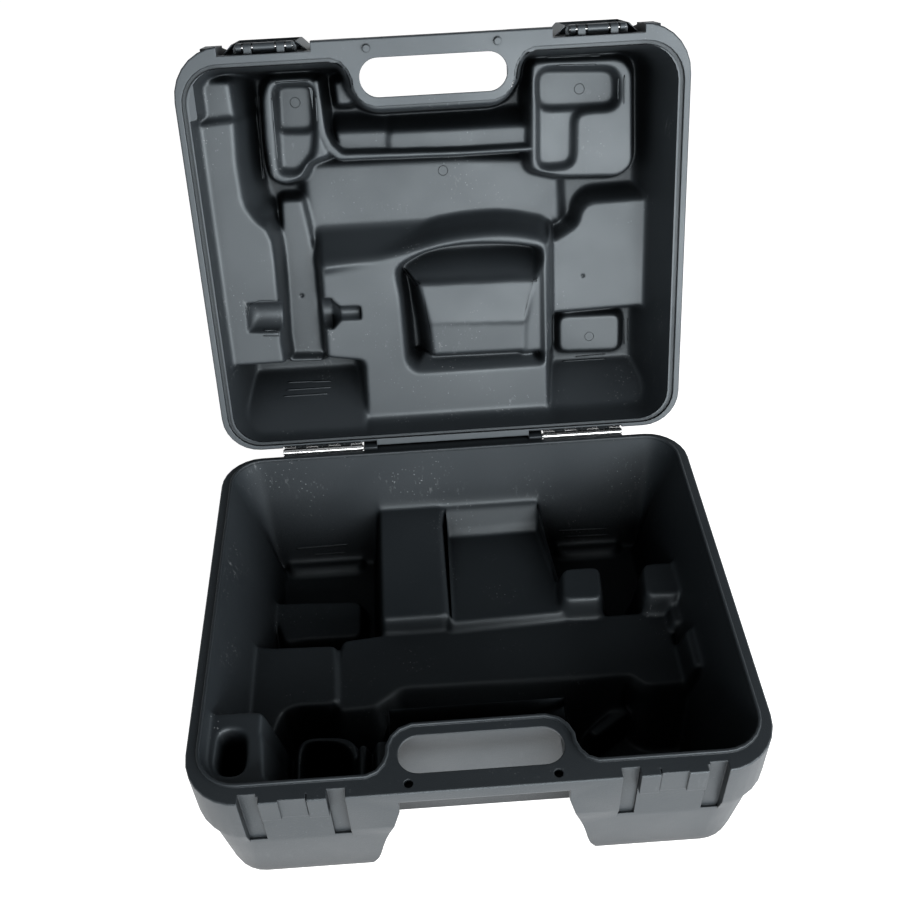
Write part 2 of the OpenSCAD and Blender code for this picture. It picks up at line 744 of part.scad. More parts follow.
module hinge_right_lid_screws() {
    color(steel) on_lid(1) leaf_screws(1);
}

// ---------- latches, drawn closed round their own axis: X along the pin, Z up, front at -Y ----------

// Trapezoid of the latch seen from above, brought in by t.
function latch_plan(t) = [[-latch_w / 2 + 1.45 * t, -7 + t], [latch_w / 2 - 1.45 * t, -7 + t],
                          [latch_w / 2 - 10 - t * 1.05, 2.5 + t / 3], [-latch_w / 2 + 10 + t * 1.05, 2.5 + t / 3]];

// Latch body: hollow cover with bevelled ends, arched end plate, knuckles, hooks and finger lip.
module latch() {
    low = -latch_z - latch_len;
    tip = -latch_z - tooth_h - 0.6;
    difference() {
        union() {
            difference() {
                translate([0, 0, low])
                    linear_extrude(height = -4 - low)
                        polygon(latch_plan(0));
                translate([0, 0, low + latch_t])
                    linear_extrude(height = -low)
                        polygon(latch_plan(latch_t));
            }
            translate([0, 0, -7])
                linear_extrude(height = 3)
                    polygon([[-24, -5.5], [24, -5.5], [24, -0.5], [22.6, 2], [20.5, 3],
                             [-20.5, 3], [-22.6, 2], [-24, -0.5]]);
            for (x = [[-21, -17], [-8, 8], [17, 21]])
                translate([x[0], 0, 0]) {
                    rotate([0, 90, 0])
                        cylinder(h = x[1] - x[0], r = eye_r, $fn = 40);
                    translate([0, -eye_r, -5])
                        cube([x[1] - x[0], 2 * eye_r, 5]);
                }
            for (x = [-24, 8.7])
                translate([x, 0, 0])
                    rotate([90, 0, 90])
                        linear_extrude(height = 15.3)
                            polygon([[-5.5, tip - 9], [-1, tip - 6], [1.7, tip - 2.2], [1.7, tip], [-5.5, tip]]);
            translate([-27, 0, 0])
                rotate([90, 0, 90])
                    linear_extrude(height = 54)
                        polygon([[-9, low], [-6, low], [-6, low + 3.2], [-7, low + 3.2], [-9, low + 1.4]]);
        }
        translate([-30, 0, 0])
            rotate([0, 90, 0])
                cylinder(h = 60, r = latch_pin_r + run_gap, $fn = 32);
    }
}

// Steel pin of a latch.
module latch_pin() {
    translate([-21.4, 0, 0])
        rotate([0, 90, 0])
            cylinder(h = 42.8, r = latch_pin_r, $fn = 32);
}

// Places a latch part on the opened lid, folded right over onto the front wall of the lid.
module folded_over(m) {
    lid_open()
        translate([m * latch_x, latch_y, latch_z])
            rotate([180, 0, 0])
                children();
}

module latch_left() {
    color(plastic) folded_over(-1) latch();
}

module latch_left_pin() {
    color(steel) folded_over(-1) latch_pin();
}

module latch_right() {
    color(plastic) folded_over(1) latch();
}

module latch_right_pin() {
    color(steel) folded_over(1) latch_pin();
}

base_shell();
lid_shell();
hinge_left_base_leaf();
hinge_left_lid_leaf();
hinge_left_pin();
hinge_left_base_screws();
hinge_left_lid_screws();
hinge_right_base_leaf();
hinge_right_lid_leaf();
hinge_right_pin();
hinge_right_base_screws();
hinge_right_lid_screws();
latch_left();
latch_left_pin();
latch_right();
latch_right_pin();
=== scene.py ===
"""Looks of the open hard tool case: materials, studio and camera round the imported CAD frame."""

import json
import logging
import math
from dataclasses import dataclass, field
from enum import Enum
from typing import Optional, Sequence, Union

import bmesh
import bpy
import numpy as np
from mathutils import Euler, Matrix, Vector

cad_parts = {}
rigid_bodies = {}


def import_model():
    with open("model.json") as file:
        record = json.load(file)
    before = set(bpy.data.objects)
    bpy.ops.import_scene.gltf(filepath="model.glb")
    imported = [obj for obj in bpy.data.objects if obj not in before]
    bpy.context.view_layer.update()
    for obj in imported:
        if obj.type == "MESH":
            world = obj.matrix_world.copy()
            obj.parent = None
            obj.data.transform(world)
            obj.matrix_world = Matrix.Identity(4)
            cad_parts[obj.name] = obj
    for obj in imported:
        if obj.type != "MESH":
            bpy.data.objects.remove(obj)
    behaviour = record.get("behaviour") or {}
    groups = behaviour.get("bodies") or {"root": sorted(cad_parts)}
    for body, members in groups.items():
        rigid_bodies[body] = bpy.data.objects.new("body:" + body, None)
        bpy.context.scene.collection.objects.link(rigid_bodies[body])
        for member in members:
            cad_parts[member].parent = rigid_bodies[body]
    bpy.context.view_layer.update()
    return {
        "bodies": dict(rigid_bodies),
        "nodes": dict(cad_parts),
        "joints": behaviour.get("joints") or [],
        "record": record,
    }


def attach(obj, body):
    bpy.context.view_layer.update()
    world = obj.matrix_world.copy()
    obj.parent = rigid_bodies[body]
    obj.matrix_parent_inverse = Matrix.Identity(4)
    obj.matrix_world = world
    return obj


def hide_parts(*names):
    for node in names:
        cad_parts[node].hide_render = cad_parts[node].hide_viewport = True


LOG = logging.getLogger("tool_case")
CAMERA_AT = (-0.022927, -0.532216, 0.772)
CAMERA_TURN = (47.049, 1.900, -3.386)
LENS = 43.31
PER_M = 1000
MIX_A, MIX_B, MIX_OUT = 6, 7, 2
DUST = (0.26, 0.28, 0.29, 1.0)
WHITE = (1, 1, 1, 1)
PAPER = (0.8, 0.8, 0.8, 1)


class Half(Enum):
    """The two halves of the case."""

    BASE = "base"
    LID = "lid"


class Side(Enum):
    """The case's two sides, with the sign of their X."""

    LEFT = -1
    RIGHT = 1


# ---------- shader helpers ----------

class Nodes:
    """Short way to add and link shader nodes in one tree."""

    def __init__(self, tree: bpy.types.NodeTree) -> None:
        """Args: tree: the node tree to write into."""
        self.tree = tree

    def add(self, kind: str, **values: object) -> bpy.types.Node:
        """Adds one node.

        Args:
            kind: the node's type name.
            values: attributes of the node, or socket defaults given as in_NAME.

        Returns:
            The new node.
        """
        node = self.tree.nodes.new(kind)
        for key, value in values.items():
            if key.startswith("in_"):
                node.inputs[key[3:].replace("_", " ")].default_value = value
            else:
                setattr(node, key, value)
        return node

    def link(self, out: bpy.types.NodeSocket, into: bpy.types.NodeSocket) -> None:
        """Links two sockets."""
        self.tree.links.new(out, into)

    def math(self, op: str, a: object, b: object = 0.0, clamp: bool = False,
             c: object = 0.0) -> bpy.types.NodeSocket:
        """A math node on numbers or sockets.

        Args:
            op: name of the operation.
            a: first value.
            b: second value.
            clamp: True to keep the result from 0 to 1.
            c: third value.

        Returns:
            The node's output.
        """
        node = self.add("ShaderNodeMath", operation=op, use_clamp=clamp)
        for i, v in enumerate((a, b, c)):
            if isinstance(v, bpy.types.NodeSocket):
                self.link(v, node.inputs[i])
            else:
                node.inputs[i].default_value = v
        return node.outputs[0]


def new_object(name: str, mesh: bpy.types.Mesh) -> bpy.types.Object:
    """Puts a mesh into the scene.

    Args:
        name: name of the object.
        mesh: its mesh.

    Returns:
        The new object.
    """
    obj = bpy.data.objects.new(name, mesh)
    bpy.context.scene.collection.objects.link(obj)
    return obj


def new_material(name: str) -> tuple[bpy.types.Material, Nodes]:
    """Makes a material with an empty node tree.

    Args:
        name: name of the material.

    Returns:
        The material and a helper of its tree.
    """
    mat = bpy.data.materials.new(name)
    mat.use_nodes = True
    mat.node_tree.nodes.clear()
    return mat, Nodes(mat.node_tree)


def new_group(name: str, inputs: Sequence[tuple[str, str, object]],
              outputs: Sequence[tuple[str, str]]) -> tuple[bpy.types.NodeTree, Nodes, dict, dict]:
    """Makes a shader node group with its interface.

    Args:
        name: name of the group.
        inputs: (name, socket type, default) of each input.
        outputs: (name, socket type) of each output.

    Returns:
        The tree, a Nodes helper, the group's input sockets and its output sockets by name.
    """
    tree = bpy.data.node_groups.new(name, "ShaderNodeTree")
    for label, kind, default in inputs:
        item = tree.interface.new_socket(label, in_out="INPUT", socket_type=kind)
        item.default_value = default
    for label, kind in outputs:
        tree.interface.new_socket(label, in_out="OUTPUT", socket_type=kind)
    n = Nodes(tree)
    start = n.add("NodeGroupInput")
    end = n.add("NodeGroupOutput")
    return tree, n, {s.name: s for s in start.outputs}, {s.name: s for s in end.inputs}


def mould_grain() -> bpy.types.NodeTree:
    """Fine grain of a moulded surface: a height and a roughness change."""
    tree, n, i, o = new_group("MouldGrain", [("Scale", "NodeSocketFloat", 900.0)],
                              [("Height", "NodeSocketFloat"), ("Rough", "NodeSocketFloat")])
    pos = n.add("ShaderNodeTexCoord").outputs["Object"]
    fine = n.add("ShaderNodeTexNoise", in_Detail=3.0, in_Roughness=0.6)
    n.link(pos, fine.inputs["Vector"])
    n.link(i["Scale"], fine.inputs["Scale"])
    broad = n.add("ShaderNodeTexNoise", in_Scale=14.0, in_Detail=4.0)
    n.link(pos, broad.inputs["Vector"])
    n.link(fine.outputs["Fac"], o["Height"])
    n.link(n.math("MULTIPLY", broad.outputs["Fac"], 0.25), o["Rough"])
    return tree


def wear_marks() -> bpy.types.NodeTree:
    """Dust, specks and scuffs: one mask from 0 to 1."""
    tree, n, i, o = new_group("WearMarks", [("Amount", "NodeSocketFloat", 0.5)],
                              [("Mask", "NodeSocketFloat")])
    pos = n.add("ShaderNodeTexCoord").outputs["Object"]
    cells = n.add("ShaderNodeTexVoronoi", in_Scale=260.0)
    n.link(pos, cells.inputs["Vector"])
    speck = n.math("LESS_THAN", cells.outputs["Distance"], 0.13)
    where = n.add("ShaderNodeTexNoise", in_Scale=22.0, in_Detail=3.0)
    n.link(pos, where.inputs["Vector"])
    dusty = n.math("MULTIPLY", n.math("SUBTRACT", where.outputs["Fac"], 0.52, True), 6.0, True)
    patch = n.math("SMOOTH_MIN", dusty, 1.0)
    streak_map = n.add("ShaderNodeMapping")
    streak_map.inputs["Scale"].default_value = (40.0, 60.0, 9.0)
    streak_map.inputs["Rotation"].default_value = (0.3, 0.2, 0.5)
    n.link(pos, streak_map.inputs["Vector"])
    streak = n.add("ShaderNodeTexNoise", in_Scale=5.0, in_Detail=6.0, in_Roughness=0.7)
    n.link(streak_map.outputs[0], streak.inputs["Vector"])
    lines = n.math("MULTIPLY", n.math("SUBTRACT", streak.outputs["Fac"], 0.6, True), 8.0, True)
    both = n.math("ADD", n.math("MULTIPLY", speck, 0.8), n.math("MULTIPLY", lines, 0.6))
    n.link(n.math("MULTIPLY", n.math("MULTIPLY", both, patch), i["Amount"], True), o["Mask"])
    return tree


@dataclass(frozen=True)
class Plastic:
    """A moulded plastic finish with painted shade: colour and sheen dimmed where the part shades itself."""

    name: str
    colour: tuple[float, float, float]
    roughness: float
    grain: float
    wear: float
    edge: float = 0.0012
    shine: float = 0.8
    # shade is how far the painted shade's occlusion reaches in metres; closed is the colour and sheen factor
    # where it is fully shaded
    shade: float = 0.07
    closed: float = 0.12

    def build(self) -> bpy.types.Material:
        """Makes the material.

        Returns:
            The new material.
        """
        mat, n = new_material(self.name)
        out = n.add("ShaderNodeOutputMaterial")
        bsdf = n.add("ShaderNodeBsdfPrincipled")
        bsdf.inputs["Specular Tint"].default_value = (0.86, 0.95, 1.0, 1.0)
        n.link(bsdf.outputs[0], out.inputs[0])
        grain = n.add("ShaderNodeGroup", node_tree=bpy.data.node_groups["MouldGrain"])
        marks = n.add("ShaderNodeGroup", node_tree=bpy.data.node_groups["WearMarks"])
        marks.inputs["Amount"].default_value = self.wear
        # painted shade: ambient occlusion dims the base colour and the specular level in recesses and
        # creases
        around = n.add("ShaderNodeAmbientOcclusion", samples=6)
        around.inputs["Distance"].default_value = self.shade
        open_share = n.add("ShaderNodeMapRange", interpolation_type="SMOOTHSTEP")
        for key, value in (("From Min", 0.10), ("From Max", 0.80), ("To Min", self.closed), ("To Max", 1.0)):
            open_share.inputs[key].default_value = value
        n.link(around.outputs["AO"], open_share.inputs["Value"])
        share = open_share.outputs[0]
        n.link(n.math("MULTIPLY", share, self.shine), bsdf.inputs["Specular IOR Level"])
        mix = n.add("ShaderNodeMix", data_type="RGBA")
        mix.inputs[MIX_A].default_value = (*self.colour, 1.0)
        mix.inputs[MIX_B].default_value = DUST
        n.link(marks.outputs[0], mix.inputs[0])
        dim = n.add("ShaderNodeMix", data_type="RGBA", blend_type="MULTIPLY")
        dim.inputs[0].default_value = 1.0
        n.link(mix.outputs[MIX_OUT], dim.inputs[MIX_A])
        n.link(share, dim.inputs[MIX_B])
        n.link(dim.outputs[MIX_OUT], bsdf.inputs["Base Color"])
        rough = n.math("ADD", grain.outputs["Rough"], self.roughness - 0.12)
        n.link(n.math("MULTIPLY_ADD", marks.outputs[0], 0.25, c=rough), bsdf.inputs["Roughness"])
        edge = n.add("ShaderNodeBevel", samples=6)
        edge.inputs["Radius"].default_value = self.edge
        bump = n.add("ShaderNodeBump", in_Strength=self.grain, in_Distance=0.0004)
        n.link(grain.outputs["Height"], bump.inputs["Height"])
        n.link(edge.outputs[0], bump.inputs["Normal"])
        n.link(bump.outputs[0], bsdf.inputs["Normal"])
        return mat


@dataclass(frozen=True)
class Steel:
    """A bright steel finish."""

    name: str
    colour: tuple[float, float, float]
    roughness: float

    def build(self) -> bpy.types.Material:
        """Makes the material.

        Returns:
            The new material.
        """
        mat, n = new_material(self.name)
        out = n.add("ShaderNodeOutputMaterial")
        bsdf = n.add("ShaderNodeBsdfPrincipled", in_Metallic=1.0)
        n.link(bsdf.outputs[0], out.inputs[0])
        pos = n.add("ShaderNodeTexCoord").outputs["Object"]
        noise = n.add("ShaderNodeTexNoise", in_Scale=300.0, in_Detail=4.0)
        n.link(pos, noise.inputs["Vector"])
        ramp = n.add("ShaderNodeMix", data_type="RGBA")
        ramp.inputs[MIX_A].default_value = (*self.colour, 1.0)
        ramp.inputs[MIX_B].default_value = (*[c * 0.7 for c in self.colour], 1.0)
        n.link(noise.outputs["Fac"], ramp.inputs[0])
        n.link(ramp.outputs[MIX_OUT], bsdf.inputs["Base Color"])
        rough = n.math("MULTIPLY_ADD", noise.outputs["Fac"], 0.2, c=self.roughness - 0.1)
        n.link(rough, bsdf.inputs["Roughness"])
        edge = n.add("ShaderNodeBevel", samples=4)
        edge.inputs["Radius"].default_value = 0.0003
        n.link(edge.outputs[0], bsdf.inputs["Normal"])
        return mat


# ---------- moulded interiors ----------

FORM_REACH = 30.0
TROUGH_REACH = 16.0
TROUGH_END = 0.7
FAR = 1e3
NONE_YET = 1e9
Slope = Union[float, tuple[float, float, float, float]]


@dataclass(frozen=True)
class Form:
    """One moulded form: its outline at the height face, with drafted walls, in mm of the rim frame.

    slope is the walls' draft in degrees, or one draft each for the walls that look or lean
    to +X, -X, +Y and -Y. tilt is the face's rise along X and Y from the point at, and corner
    is how far the rounds of the outline's corners reach. With top, the outline of a cut is
    taken at that height.
    """

    points: Sequence[tuple[float, float]]
    face: float
    slope: Slope = 8.0
    cut: bool = False
    tilt: tuple[float, float] = (0.0, 0.0)
    at: tuple[float, float] = (0.0, 0.0)
    corner: float = 4.0
    top: Optional[float] = None

    def window(self, x: np.ndarray, y: np.ndarray) -> tuple[slice, slice]:
        """Rows and columns of a grid that the form can reach.

        Args:
            x: grid of X.
            y: grid of Y.

        Returns:
            Slices of the rows and of the columns.
        """
        return grid_window(self.points, FORM_REACH, x, y)

    def distance(self, x: np.ndarray, y: np.ndarray) -> tuple[np.ndarray, np.ndarray]:
        """Signed distance in mm to the outline, positive outside, and the wall's run per rise.

        Args:
            x: grid of X.
            y: grid of Y.

        Returns:
            Grid of distances and grid of the drafts' tangents.
        """
        p = np.array(rounded(self.points, self.corner), float)
        q = np.roll(p, -1, axis=0)
        best = np.full(x.shape, NONE_YET)
        off_x = np.zeros(x.shape)
        off_y = np.zeros(x.shape)
        inside = np.zeros(x.shape, bool)
        for (ax, ay), (bx, by) in zip(p, q):
            dx, dy = bx - ax, by - ay
            t = np.clip(((x - ax) * dx + (y - ay) * dy) / (dx * dx + dy * dy), 0, 1)
            ex, ey = x - ax - t * dx, y - ay - t * dy
            near = np.hypot(ex, ey)
            less = near < best
            best = np.where(less, near, best)
            off_x = np.where(less, ex, off_x)
            off_y = np.where(less, ey, off_y)
            crosses = (ay > y) != (by > y)
            with np.errstate(divide="ignore", invalid="ignore"):
                at = ax + (y - ay) * dx / (dy if dy else 1e-9)
            inside ^= crosses & (x < at)
        way = np.where(inside, -1.0, 1.0) / np.maximum(best, 1e-6)
        return np.where(inside, -best, best), self.run(off_x * way, off_y * way)

    def run(self, nx: np.ndarray, ny: np.ndarray) -> np.ndarray:
        """Tangent of the draft for each outward direction.

        Args:
            nx: X of the directions.
            ny: Y of the directions.

        Returns:
            Grid of tangents.
        """
        if not isinstance(self.slope, tuple):
            return np.full(nx.shape, math.tan(math.radians(self.slope)))
        parts = (np.maximum(nx, 0), np.maximum(-nx, 0), np.maximum(ny, 0), np.maximum(-ny, 0))
        total = sum(w * w for w in parts) + 1e-9
        return sum(w * w * math.tan(math.radians(s)) for w, s in zip(parts, self.slope)) / total + 1e-6

    def height(self, x: np.ndarray, y: np.ndarray) -> np.ndarray:
        """Height of the form's own surface in mm.

        Args:
            x: grid of X.
            y: grid of Y.

        Returns:
            Grid of heights.
        """
        d, run = self.distance(x, y)
        face = self.face + self.tilt[0] * (x - self.at[0]) + self.tilt[1] * (y - self.at[1])
        if self.top is not None:
            return np.maximum(face, self.top + d / run)
        away = np.maximum(d, 0) / run
        return face + away if self.cut else face - away


@dataclass(frozen=True)
class Trough:
    """A half-round hollow along a line, its radius going from r0 to r1, cut into a face.

    dome is how far a rounded end reaches beyond the start.
    """

    start: tuple[float, float]
    end: tuple[float, float]
    r0: float
    r1: float
    face: float
    dome: float = TROUGH_END
    cut: bool = True

    def window(self, x: np.ndarray, y: np.ndarray) -> tuple[slice, slice]:
        """Rows and columns of a grid that the hollow can reach.

        Args:
            x: grid of X.
            y: grid of Y.

        Returns:
            Slices of the rows and of the columns.
        """
        return grid_window((self.start, self.end), TROUGH_REACH + self.dome, x, y)

    def height(self, x: np.ndarray, y: np.ndarray) -> np.ndarray:
        """Height of the hollow's surface in mm, high above where it doesn't reach.

        Args:
            x: grid of X.
            y: grid of Y.

        Returns:
            Grid of heights.
        """
        (ax, ay), (bx, by) = self.start, self.end
        dx, dy = bx - ax, by - ay
        size = math.hypot(dx, dy)
        t = ((x - ax) * dx + (y - ay) * dy) / size
        off = np.abs((x - ax) * dy - (y - ay) * dx) / size
        r = self.r0 + (self.r1 - self.r0) * np.clip(t / size, 0, 1)
        before = np.maximum(-t, 0) / self.dome
        inside = (off < r) & (before < 1) & (t < size + TROUGH_END)
        deep = np.sqrt(np.maximum(r * r - off * off, 0) * np.maximum(1 - before * before, 0))
        return np.where(inside, self.face - deep, FAR)


def grid_window(points: Sequence[tuple[float, float]], reach: float,
                x: np.ndarray, y: np.ndarray) -> tuple[slice, slice]:
    """Part of a regular grid within reach of some points.

    Args:
        points: the points.
        reach: distance in mm round their bounds.
        x: grid of X.
        y: grid of Y.

    Returns:
        Slices of the rows and of the columns.
    """
    px, py = zip(*points)
    cols = np.searchsorted(x[0], (min(px) - reach, max(px) + reach))
    rows = np.searchsorted(y[:, 0], (min(py) - reach, max(py) + reach))
    return slice(*rows), slice(*cols)


def rounded(points: Sequence[tuple[float, float]], reach: float, n: int = 4) -> list[tuple[float, float]]:
    """Rounds the corners of an outline.

    Args:
        points: its corners.
        reach: how far along each edge the round starts.
        n: steps in a corner.

    Returns:
        The outline's points.
    """
    out = []
    for i, (x, y) in enumerate(points):
        ends = []
        for px, py in (points[i - 1], points[(i + 1) % len(points)]):
            size = math.hypot(px - x, py - y)
            k = min(reach, 0.45 * size) / size
            ends.append((x + (px - x) * k, y + (py - y) * k))
        (ax, ay), (bx, by) = ends
        for j in range(n + 1):
            t = j / n
            out.append(((1 - t) ** 2 * ax + 2 * t * (1 - t) * x + t * t * bx,
                        (1 - t) ** 2 * ay + 2 * t * (1 - t) * y + t * t * by))
    return out


def rounded_plan(hw: float, y0: float, y1: float, rf: float, rb: float,
                 n: int = 10) -> list[tuple[float, float]]:
    """Outline of a rounded rectangle.

    Args:
        hw: half width.
        y0: front edge.
        y1: back edge.
        rf: radius of the front corners.
        rb: radius of the back corners.
        n: steps in a corner.

    Returns:
        Points, counter-clockwise.
    """
    out = []
    for cx, cy, r, a0 in ((hw - rf, y0 + rf, rf, -90), (hw - rb, y1 - rb, rb, 0),
                          (rb - hw, y1 - rb, rb, 90), (rf - hw, y0 + rf, rf, 180)):
        for i in range(n + 1):
            a = math.radians(a0 + 90 * i / n)
            out.append((cx + r * math.cos(a), cy + r * math.sin(a)))
    return out


ABOVE_RIM = 40.0
RELIEF_TOP = -0.3
KEEP_OVER = 12


@dataclass
class Relief:
    """Smooth moulded surface over a grid of the rim frame: heights in mm, negative under the rim."""

    half_w: float
    y0: float
    y1: float
    step: float = 0.8
    x: np.ndarray = field(init=False)
    y: np.ndarray = field(init=False)
    z: np.ndarray = field(init=False)

    def __post_init__(self) -> None:
        """Lays out the grid."""
        xs = np.arange(-self.half_w, self.half_w + self.step, self.step)
        ys = np.arange(self.y0, self.y1 + self.step, self.step)
        self.x, self.y = np.meshgrid(xs, ys)
        self.z = np.zeros(self.x.shape)

    def hollow(self, outline: Form, depth: float) -> None:
        """Starts from a hollow with drafted walls.

        Args:
            outline: opening at the rim; its slope is the draft.
            depth: depth of the floor.
        """
        d, run = outline.distance(self.x, self.y)
        self.z = np.maximum(-depth, np.minimum(d / run, ABOVE_RIM))

    def apply(self, forms: Sequence[Form]) -> None:
        """Raises or cuts the forms one after the other.

        Args:
            forms: forms or troughs, in order.
        """
        for form in forms:
            part = form.window(self.x, self.y)
            h = form.height(self.x[part], self.y[part])
            self.z[part] = np.minimum(self.z[part], h) if form.cut else np.maximum(self.z[part], h)

    def at(self, x: float, y: float) -> float:
        """Height of the surface in mm at one spot.

        Args:
            x: X of the spot.
            y: Y of the spot.

        Returns:
            The height.
        """
        col = int(round((x - self.x[0, 0]) / self.step))
        row = int(round((y - self.y[0, 0]) / self.step))
        return float(self.z[row, col])

    def soften(self, sigma: float) -> None:
        """Rounds all edges by smoothing.

        Args:
            sigma: width of the smoothing in mm.
        """
        s = sigma / self.step
        r = int(3 * s + 1)
        k = np.exp(-0.5 * (np.arange(-r, r + 1) / s) ** 2)
        k /= k.sum()
        for axis in (0, 1):
            pad = [(r, r) if a == axis else (0, 0) for a in (0, 1)]
            wide = np.pad(self.z, pad, mode="edge")
            size = self.z.shape[axis]
            self.z = sum(w * (wide[i:i + size] if axis == 0 else wide[:, i:i + size])
                         for i, w in enumerate(k))

    def mesh(self, name: str, place: Matrix, flip: bool,
             bare: Optional[np.ndarray] = None) -> bpy.types.Object:
        """Makes the surface as a mesh cut off at the rim.

        Args:
            name: name of the object.
            place: matrix from the rim frame in metres to the row frame.
            flip: True for the lid, whose hollow opens downwards when closed.
            bare: True at the grid's points where the surface stays away.

        Returns:
            The new object.
        """
        rows, cols = self.x.shape
        keep = self.z < RELIEF_TOP + KEEP_OVER
        if bare is not None:
            keep &= ~bare
        co = np.stack([self.x, self.y, -self.z if flip else self.z], -1).reshape(-1, 3) / PER_M
        idx = np.arange(rows * cols).reshape(rows, cols)
        quads = np.stack([idx[:-1, :-1], idx[:-1, 1:], idx[1:, 1:], idx[1:, :-1]], -1).reshape(-1, 4)
        ok = keep.reshape(-1)[quads].all(1)
        quads = quads[ok]
        if flip:
            quads = quads[:, ::-1]
        used, inverse = np.unique(quads, return_inverse=True)
        mesh = bpy.data.meshes.new(name)
        mesh.from_pydata(co[used].tolist(), [], inverse.reshape(-1, 4).tolist())
        bm = bmesh.new()
        bm.from_mesh(mesh)
        sign = -1 if flip else 1
        bmesh.ops.bisect_plane(bm, geom=bm.verts[:] + bm.edges[:] + bm.faces[:],
                               plane_co=(0, 0, sign * RELIEF_TOP / PER_M),
                               plane_no=(0, 0, sign), clear_outer=True)
        bm.transform(place)
        for f in bm.faces:
            f.smooth = True
        bm.to_mesh(mesh)
        bm.free()
        return new_object(name, mesh)


# ---------- the case ----------

RIM_UP = 0.128
RIM_BACK = 0.16575
HINGE = (335.4, 0.92)
OPEN = 108.4
DETOUR = [(-77.5, 13), (-70, 16), (-65, 22), (-62.3, 29), (-62, 35), (-59, 42), (-54, 47), (-46, 50)]
GRID = (192.0, 10.0, 328.0)
SOFT_BLUR = 2.4
EDGE_BLUR = 1.5
DETAIL_BLUR = 0.7
SKIN_EDGE = -0.15
SKIN_UP = 0.02
SKIN_UNDER = -0.35
SHARP = 32
SEAM = 0.3


def rim_place() -> Matrix:
    """Matrix from the rim frame in metres to the row frame."""
    return Matrix.Translation((0, -RIM_BACK, RIM_UP))


def lid_place() -> Matrix:
    """Matrix from the closed lid's rim frame to the open lid in the row frame."""
    axis = Vector((0, HINGE[0] / PER_M, HINGE[1] / PER_M))
    turn = Matrix.Rotation(-math.radians(OPEN), 4, "X")
    return rim_place() @ Matrix.Translation(axis) @ turn @ Matrix.Translation(-axis)


def grip_wall(reach: float) -> list[tuple[float, float]]:
    """Outline of the wall round the hand slot, moved out by reach mm.

    Args:
        reach: distance from the line of the seal.

    Returns:
        Points, counter-clockwise.
    """
    left = [(x - reach * 0.8 if x < -60 else x, y + reach * (0.35 if y < 40 else 1)) for x, y in DETOUR]
    return [(-90, 0), (90, 0)] + [(-x, y) for x, y in left] + list(reversed(left))


@dataclass
class Shell:
    """One half of the case: outside from the CAD node, moulded inside as a smooth relief.

    The relief starts from the opening and depth. soft forms are smoothed most, details least,
    and slot_rim is the outline inside which the CAD's own rim stays in view.
    """

    half: Half
    node: str
    body: str
    finish: bpy.types.Material
    outside: bpy.types.Material
    opening: Form
    depth: float
    wall: Form
    soft: Sequence[Form]
    forms: Sequence[Form]
    details: Sequence[Form]
    marks: Sequence["Mark"]
    slot_rim: Optional[Form] = None

    def build(self, frame: dict) -> None:
        """Makes both pieces and lets them ride.
        """
        is_lid = self.half is Half.LID
        place = lid_place() if is_lid else rim_place()
        skin = self.skin(frame["nodes"][self.node], place)
        relief = Relief(*GRID)
        relief.hollow(self.opening, self.depth)
        relief.apply(self.soft)
        if self.soft:
            relief.soften(SOFT_BLUR)
        relief.apply([self.wall])
        relief.apply(self.forms)
        relief.soften(EDGE_BLUR)
        relief.apply(self.details)
        relief.soften(DETAIL_BLUR)
        bare = None
        if self.slot_rim:
            bare = self.slot_rim.distance(relief.x, relief.y)[0] < 0
            bare |= self.opening.distance(relief.x, relief.y)[0] > SEAM
        tray = relief.mesh(self.node + "_inside", place, is_lid, bare)
        small = draw_marks(self.node + "_marks", self.marks, relief, place, is_lid)
        for obj in (skin, tray, small):
            obj.data.materials.clear()
            obj.data.materials.append(self.outside if obj is skin else self.finish)
            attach(obj, self.body)
        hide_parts(self.node)
        LOG.info("shell %s: %d + %d faces", self.node, len(skin.data.polygons), len(tray.data.polygons))

    def skin(self, source: bpy.types.Object, place: Matrix) -> bpy.types.Object:
        """Copies the CAD node without its inside.

        Args:
            source: the CAD node.
            place: matrix of this half.

        Returns:
            The new object.
        """
        mesh = source.data.copy()
        mesh.transform(source.matrix_world)
        bm = bmesh.new()
        bm.from_mesh(mesh)
        bmesh.ops.remove_doubles(bm, verts=bm.verts[:], dist=1e-6)
        back = place.inverted()
        turn = back.to_3x3()
        sign = -1 if self.half is Half.LID else 1
        faces = bm.faces[:]
        mid = np.array([back @ f.calc_center_median() for f in faces]) * PER_M
        up = np.array([(turn @ f.normal)[2] for f in faces]) * sign
        inside = self.opening.distance(mid[:, 0], mid[:, 1])[0] < SKIN_EDGE
        out = inside & (up > SKIN_UP) & (mid[:, 2] * sign < SKIN_UNDER)
        bmesh.ops.delete(bm, geom=[f for f, o in zip(faces, out) if o], context="FACES")
        for f in bm.faces:
            f.smooth = True
        for e in bm.edges:
            e.smooth = len(e.link_faces) == 2 and e.calc_face_angle(9) < math.radians(SHARP)
        bm.to_mesh(mesh)
        bm.free()
        return new_object(self.node + "_skin", mesh)


@dataclass(frozen=True)
class Mark:
    """A thin raised line on the moulded surface through the points, in mm of the rim frame.

    Points are (x, y) on the surface, or (x, y, z) in space.
    """

    points: Sequence[tuple[float, ...]]
    radius: float = 0.7

    @staticmethod
    def ring(x: float, y: float, r: float = 4.0) -> "Mark":
        """A round mark.

        Args:
            x: X of its centre.
            y: Y of its centre.
            r: its radius.

        Returns:
            The mark.
        """
        turn = [2 * math.pi * i / 28 for i in range(29)]
        return Mark([(x + r * math.cos(a), y + r * math.sin(a)) for a in turn], 0.28)


TUBE_SIDES = 8
TUBE_STEP = 2.0
THIN_END = 0.35
THIN_FROM = 0.5


